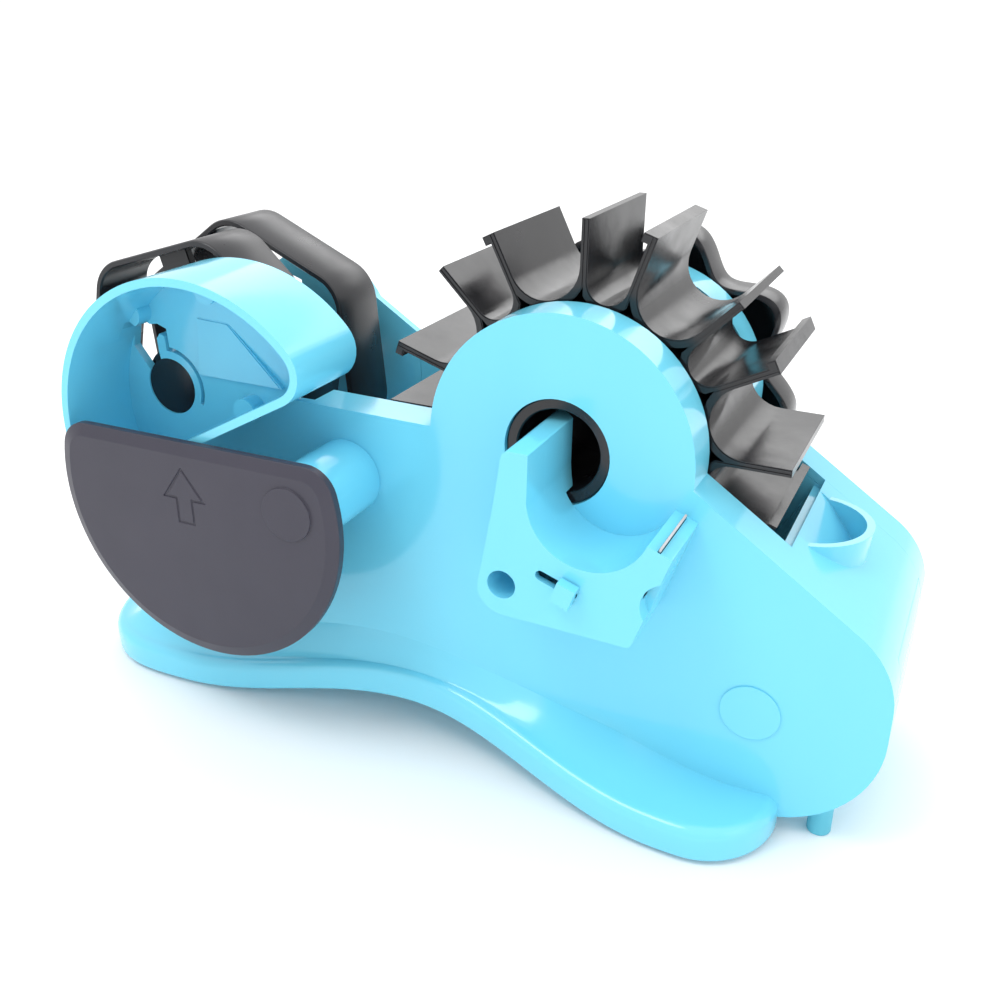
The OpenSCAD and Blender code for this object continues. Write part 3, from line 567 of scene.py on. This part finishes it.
panelBm = bmesh.new()
corners, wallY = panelLook["corners"], panelLook["wall"]
backRow = [panelBm.verts.new((x * mm, (wallY + panelLook["sunk"]) * mm, z * mm)) for x, z in corners]
frontRow = [panelBm.verts.new((x * mm, (wallY - up) * mm, z * mm)) for (x, z), up in zip(corners, panelLook["rise"])]
panelBm.faces.new(backRow)
panelBm.faces.new(frontRow[::-1])
sides(panelBm, backRow, frontRow)
bmesh.ops.recalc_face_normals(panelBm, faces=panelBm.faces)
frontEdges = [e for e in panelBm.edges if any(v in frontRow for v in e.verts)]
bmesh.ops.bevel(panelBm, geom=frontEdges, offset=panelLook["edge"] * mm, segments=2, affect="EDGES",
                clamp_overlap=True)
panelMesh = bpy.data.meshes.new("cupPanel")
panelBm.to_mesh(panelMesh)
panelBm.free()
addPiece("cupPanelRaised", panelMesh, sky, "housing", (), 25)
print("feet, screws and cup panel ready")

# mini dispenser

miniLook = {"outer": 0.9, "inner": 0.4, "hole": 0.35, "tip": 1.6, "rear": 0.5, "tipFrom": 92.5, "outerFace": -50.5,
            "holeZone": (-4.4, 61.2, 4.5), "slotZone": ((2, 16), (60, 68))}


def miniWidths(p):
    c = miniLook
    hx, hz, reach = c["holeZone"]
    (x0, x1), (z0, z1) = c["slotZone"]
    if math.hypot(p.x - hx, p.z - hz) < reach or (x0 < p.x < x1 and z0 < p.z < z1):
        return c["hole"]
    if p.z > c["tipFrom"]:
        return c["tip"]
    return c["outer"] if p.y < c["outerFace"] else c["inner"]


miniFront = addPiece("miniFrontEased", roundedCopy("mini_front_shell", miniWidths), sky, "mini_unit",
                     ["mini_front_shell"], 0)
miniRear = addPiece("miniRearEased", roundedCopy("mini_rear_shell", lambda p: miniLook["rear"]), sky, "mini_unit",
                    ["mini_rear_shell"], 0)
print("mini dispenser:", len(miniFront.data.polygons), len(miniRear.data.polygons))

# cover plate

plateLook = {"edge": 0.35, "segments": 2, "fromAngle": 12}
plateMesh = roundedCopy("cover_plate", lambda p: plateLook["edge"], plateLook["segments"], plateLook["fromAngle"])
addPiece("coverPlateEased", plateMesh, slate, "plate_unit", ["cover_plate"], 0)
print("cover plate:", len(plateMesh.polygons))

# drum

# radii and sizes in mm, angles in degrees; rim and hub are closed (radius, y) sections
drumLook = {"tip": 50.0, "wall": 1.8, "troughBottom": 32.0, "fins": 16, "firstFin": 156.8, "flangeTurn": 4.4,
            "flangeWide": 3.3, "flangeDeep": 2.1, "arcSteps": 14, "endRound": 0.25, "roundFrom": 30, "half": 19.5,
            "rim": ((31.4, 19.3), (31.4, 19.5), (29.6, 19.5), (29.4, 19.3), (29.4, 1.7), (29.2, 1.5), (12.72, 1.5),
                    (12.72, -1.5), (29.2, -1.5), (29.4, -1.7), (29.4, -19.3), (29.6, -19.5), (31.4, -19.5),
                    (31.4, -19.3)),
            "hub": ((12.7, 0), (12.7, 30.5), (12.3, 30.9), (10.3, 30.9), (10.0, 30.6), (10.0, 3.2), (9.8, 3.0),
                    (2.0, 3.0), (2.0, -3.0), (9.8, -3.0), (10.0, -3.2), (10.0, -30.1), (10.3, -30.5),
                    (12.3, -30.5), (12.7, -30.1))}


def finAngle(k):
    return math.radians(drumLook["firstFin"] - 360 / drumLook["fins"] * k
                        + (drumLook["flangeTurn"] if k % 2 == 0 else 0))


def troughOutline(k):
    # half of fin k, the U between, and half of fin k+1, as one closed outline
    w = drumLook
    a, b = finAngle(k), finAngle(k + 1)
    half, mid, t, tip = (a - b) / 2, (a + b) / 2, w["wall"], w["tip"]
    c = (w["troughBottom"] - t / 2) / (1 - math.sin(half))  # the U's centre, and r its inner radius
    r = c * math.sin(half) - t / 2
    foot = c * math.cos(half)

    def put(x, y):
        return (x * math.cos(mid) - y * math.sin(mid), x * math.sin(mid) + y * math.cos(mid))

    def flank(side, along, off):
        ang = side * half
        return put(along * math.cos(ang) + off * side * math.sin(ang),
                   along * math.sin(ang) - off * side * math.cos(ang))

    def arc(radius, start, end):
        angles = [start + (end - start) * i / w["arcSteps"] for i in range(1, w["arcSteps"])]
        return [put(c + radius * math.cos(ang), radius * math.sin(ang)) for ang in angles]

    pts = [flank(1, tip, 0), flank(1, tip, t / 2), flank(1, foot, t / 2)]
    pts += arc(r, math.pi / 2 + half, 3 * math.pi / 2 - half)
    pts.append(flank(-1, foot, t / 2))
    if k % 2 == 0:
        pts += [flank(-1, tip, t / 2), flank(-1, tip, 0)]
    else:  # this fin ends in a flange
        wide, low = w["flangeWide"] - t / 2, tip - w["flangeDeep"]
        pts += [flank(-1, low, t / 2), flank(-1, low, wide), flank(-1, tip, wide), flank(-1, tip, 0)]
    back = math.sqrt(max(0.0, (r + t) ** 2 - (c * math.sin(half)) ** 2))
    cusp = foot - back  # where the outer arc meets the fin's middle
    pts.append(flank(-1, cusp, 0))
    aStart = math.atan2(-cusp * math.sin(half), cusp * math.cos(half) - c)
    aStart += 2 * math.pi if aStart < 0 else 0
    pts += arc(r + t, aStart, 2 * math.pi - aStart)
    pts.append(flank(1, cusp, 0))
    return pts


def prism(bm, pts, y0, y1):
    low = [bm.verts.new((x * mm, y0, z * mm)) for x, z in pts]
    high = [bm.verts.new((x * mm, y1, z * mm)) for x, z in pts]
    bm.faces.new(low)
    bm.faces.new(high[::-1])
    sides(bm, low, high)


def isFinEnd(e):
    # an edge round the end of a fin, away from the rim
    mid = (e.verts[0].co + e.verts[1].co) / (2 * mm)
    return abs(mid.y) > drumLook["half"] - 0.1 and math.hypot(mid.x, mid.z) > drumLook["roundFrom"]


pair = bmesh.new()
for k in (0, 1):
    prism(pair, troughOutline(k), -drumLook["half"] * mm, drumLook["half"] * mm)
bmesh.ops.recalc_face_normals(pair, faces=pair.faces)
bmesh.ops.bevel(pair, geom=[e for e in pair.edges if isFinEnd(e)], offset=drumLook["endRound"] * mm, segments=2,
                affect="EDGES")
pairMesh = bpy.data.meshes.new("troughPair")
pair.to_mesh(pairMesh)
pair.free()
finRing = runTree(ringPattern("finRingPattern", ink), pairMesh,
                  {"Count": drumLook["fins"] // 2, "Axis": drumAxis, "Turn": 0.0}, "finRing")
addPiece("drumFinRing", finRing, ink, "drum_unit", ["drum"], 28)
addPiece("drumRim", lathe("drumRim", drumLook["rim"], drumAxis), ink, "drum_unit", ["drum"], 35)
addPiece("drumHubTube", lathe("drumHubTube", drumLook["hub"], drumAxis), ink, "drum_unit",
         ["drum_hub"], 35)
print("drum:", len(finRing.polygons))

# hand wheel

wheelLook = {"peak": 40.0, "lobes": 8, "lobeDepth": 8.0, "phase": 78.0, "near": 33.0, "far": 45.0, "skin": 2.0,
             "face": 2.4, "round": 2.2, "boss": 14.0, "steps": 240}


def wheelRadius(a, inset):
    w = wheelLook
    deep = w["lobeDepth"] / 2
    return w["peak"] - deep - inset + deep * math.cos(w["lobes"] * (a - math.radians(w["phase"])))


def wheelMesh():
    w = wheelLook
    near, far, skin, rnd, boss = w["near"], w["far"], w["skin"], w["round"], w["boss"]
    ceiling = far - w["face"]  # the inner side of the face
    # the rim follows the lobes, as (inset, y); the face, the screw's well and the boss are round, as (radius, y)
    rim = [(skin + 0.8, ceiling), (skin, ceiling - 0.8), (skin, near + 0.3), (skin - 0.2, near), (0.4, near),
           (0.1, near + 0.15), (0, near + 0.5)]
    for i in range(7):
        a = math.pi / 2 * i / 6
        rim.append((rnd * (1 - math.cos(a)), far - rnd + rnd * math.sin(a)))
    middle = [(24, far), (8, far), (6.4, far - 0.1), (6.2, far - 0.4), (6, far - 0.5), (4.4, far - 0.5),
              (4.4, far - 6), (1.75, far - 6), (1.75, 3.5), (9.6, 3.5), (9.98, 3.9), (9.98, near + 1),
              (boss - 0.4, near + 1), (boss, near + 1.4), (boss, ceiling - 0.8), (boss + 0.8, ceiling)]
    return turned("handWheel", lambda a: [(wheelRadius(a, inset), y) for inset, y in rim] + middle, drumAxis,
                  w["steps"])


handWheel = addPiece("handWheelLobed", wheelMesh(), ink, "drum_unit", ["hand_wheel"], 32)
print("hand wheel:", len(handWheel.data.polygons))

# roll cores

coreLook = {"reach": 38.0, "corner": 11.0, "wall": 1.8, "width": 18.5, "hub": 9.9, "bore": 7.56, "edge": 0.5,
            "hubEdge": 0.4, "spokeHigh": 10, "spokeThick": 2.4, "spokeEdge": 0.3, "spokes": 3, "steps": 192,
            "turns": {"near_core": 43.8, "far_core": 25.0}}
cos30, sin30 = math.cos(math.pi / 6), 0.5


def hexRadius(a, reach, f):
    # radius at angle a of a hexagon with corners at multiples of 60 degrees, rounded by f and reaching out to reach
    centre = reach - f
    a = (a + math.pi / 6) % (math.pi / 3) - math.pi / 6
    if abs(a) < math.atan2(f * sin30, centre + f * cos30):
        return centre * math.cos(a) + math.sqrt(f * f - (centre * math.sin(a)) ** 2)
    return (centre * cos30 + f) / math.cos(abs(a) - math.pi / 6)


def hexRing(y0, turn):
    c = coreLook
    e, wall, y1 = c["edge"], c["wall"], y0 + c["width"]
    path = [(wall, y0 + e), (wall - e * 0.7, y0), (e * 0.7, y0), (0.15, y0 + e * 0.4), (0, y0 + e),
            (0, y1 - e), (0.15, y1 - e * 0.4), (e * 0.7, y1), (wall - e * 0.7, y1), (wall, y1 - e)]
    return turned("hexRing", lambda a: [(hexRadius(a, c["reach"] - inset, c["corner"] - inset), y)
                                        for inset, y in path], reelAxis, c["steps"], math.radians(turn))


def coreHub(y0):
    c = coreLook
    y1, e = y0 + c["width"], c["hubEdge"]
    path = [(c["hub"], y0 + e), (c["hub"] - e, y0), (c["bore"], y0), (c["bore"], y1), (c["hub"] - e, y1),
            (c["hub"], y1 - e)]
    return lathe("coreHub", path, reelAxis, 64)


def coreSpoke(mid):
    # one spoke about the Y axis, from inside the hub to the middle of the ring's flat side
    c = coreLook
    start, high, thick = c["hub"] - 0.6, c["spokeHigh"] / 2, c["spokeThick"] / 2
    end = (c["reach"] - c["corner"]) * cos30 + c["corner"] - c["wall"] / 2
    spoke = bmesh.new()
    prism(spoke, [(start, -high), (end, -high), (end, high), (start, high)], (mid - thick) * mm, (mid + thick) * mm)
    bmesh.ops.recalc_face_normals(spoke, faces=spoke.faces)
    bmesh.ops.bevel(spoke, geom=list(spoke.edges), offset=c["spokeEdge"] * mm, segments=2, affect="EDGES")
    mesh = bpy.data.meshes.new("spoke")
    spoke.to_mesh(mesh)
    spoke.free()
    return mesh


for node, turn in coreLook["turns"].items():
    y0, body, name = 1000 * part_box(node)[0][1], node + "_unit", node.replace("_", "")
    addPiece(name + "Hexagon", hexRing(y0, turn), coreInk, body, [node], 35)
    addPiece(name + "Hub", coreHub(y0), coreInk, body, [node], 35)
    spokes = runTree(ringPattern(node + "Spokes", coreInk), coreSpoke(y0 + coreLook["width"] / 2),
                     {"Count": coreLook["spokes"], "Axis": reelAxis, "Turn": math.radians(turn - 30)}, "spokes")
    addPiece(name + "Spokes", spokes, coreInk, body, [node], 35)
print("roll cores:", len(spokes.polygons), "faces in each set of spokes")

# the parts that keep their frame shape

keptFinish = {
    "near_liner": sky, "far_liner": sky, "drum_well": sky, "ballast_weight": finishes["castIron"],
    "liner_screws": steel, "cut_blade": steel, "wheel_screw": steel, "wheel_cap": ink, "reel_shaft": ink,
    "near_spacer": coreInk, "far_spacer": coreInk, "post_screw": steel, "plate_pin": slate, "mini_pegs": sky,
    "mini_tongue": sky, "mini_blade": steel, "mini_screws": steel, "slide_button": sky, "slide_tongue": steel,
}
for name, mat in keptFinish.items():
    for slot in nodes[name].material_slots:
        slot.material = mat
print("kept parts painted:", len(keptFinish))

# stage, lights and camera

# front, back and overhead are how bright the world is each way; a light holds place, target, size and power
stageLook = {"floor": (0.95, 0.955, 0.96), "floorHalf": 6, "front": 0.9, "back": 1.06, "overhead": 1.4,
             "lights": {"topKey": ((-0.25, -0.35, 0.75), (-0.02, 0, 0.06), (0.36, 0.24), 1.5),
                        "rightFill": ((0.75, -0.25, 0.35), (0, 0, 0.06), (0.4, 0.6), 0.5),
                        "backRim": ((-0.1, 0.7, 0.5), (0, 0, 0.08), (0.9, 0.3), 1.2)},
             "lens": 39.46, "camera": (0.0847, -0.24095, 0.17765), "tilt": 65.69, "aside": 25.49}
h = stageLook["floorHalf"]
floorMesh = meshOf("floor", [(-h, -h, 0), (h, -h, 0), (h, h, 0), (-h, h, 0)], [(0, 1, 2, 3)])
floor = linked("paleFloor", floorMesh)
floorMat, _, floorShader = newMaterial("paleFloor")
setInputs(floorShader, {"Base Color": (*stageLook["floor"], 1), "Roughness": 0.6})
floorMesh.materials.append(floorMat)

world = bpy.data.worlds.new("softStudio")
world.use_nodes = True
skyTree = world.node_tree
skyCoord = skyTree.nodes.new("ShaderNodeTexCoord")
skySplit = skyTree.nodes.new("ShaderNodeSeparateXYZ")
skyTree.links.new(skyCoord.outputs["Generated"], skySplit.inputs[0])
towardsBack = spread(skyTree, skySplit.outputs["Y"], stageLook["front"], stageLook["back"], -0.7, 0.3)
upwards = spread(skyTree, skySplit.outputs["Z"], 1.0, stageLook["overhead"], 0.25, 0.9)
skyLevel = skyTree.nodes.new("ShaderNodeMath")
skyLevel.operation = "MULTIPLY"
skyTree.links.new(towardsBack, skyLevel.inputs[0])
skyTree.links.new(upwards, skyLevel.inputs[1])
setInputs(skyTree.nodes["Background"], {0: (1, 1, 1, 1)})
skyTree.links.new(skyLevel.outputs[0], skyTree.nodes["Background"].inputs[1])
bpy.context.scene.world = world

for name, (place, target, size, power) in stageLook["lights"].items():
    light = bpy.data.lights.new(name, "AREA")
    light.shape = "RECTANGLE"
    light.size, light.size_y = size
    light.energy = power
    lamp = linked(name, light)
    lamp.location = place
    lamp.rotation_euler = (Vector(target) - Vector(place)).to_track_quat("-Z", "Y").to_euler()

camera = linked("viewCamera", bpy.data.cameras.new("viewCamera"))
camera.data.lens = stageLook["lens"]
camera.data.sensor_width = 36
camera.data.clip_start = 0.01
camera.location = stageLook["camera"]
camera.rotation_euler = (math.radians(stageLook["tilt"]), 0, math.radians(stageLook["aside"]))
bpy.context.scene.camera = camera
bpy.context.scene.view_settings.view_transform = "Standard"
print("stage ready:", len(stageLook["lights"]), "lights")
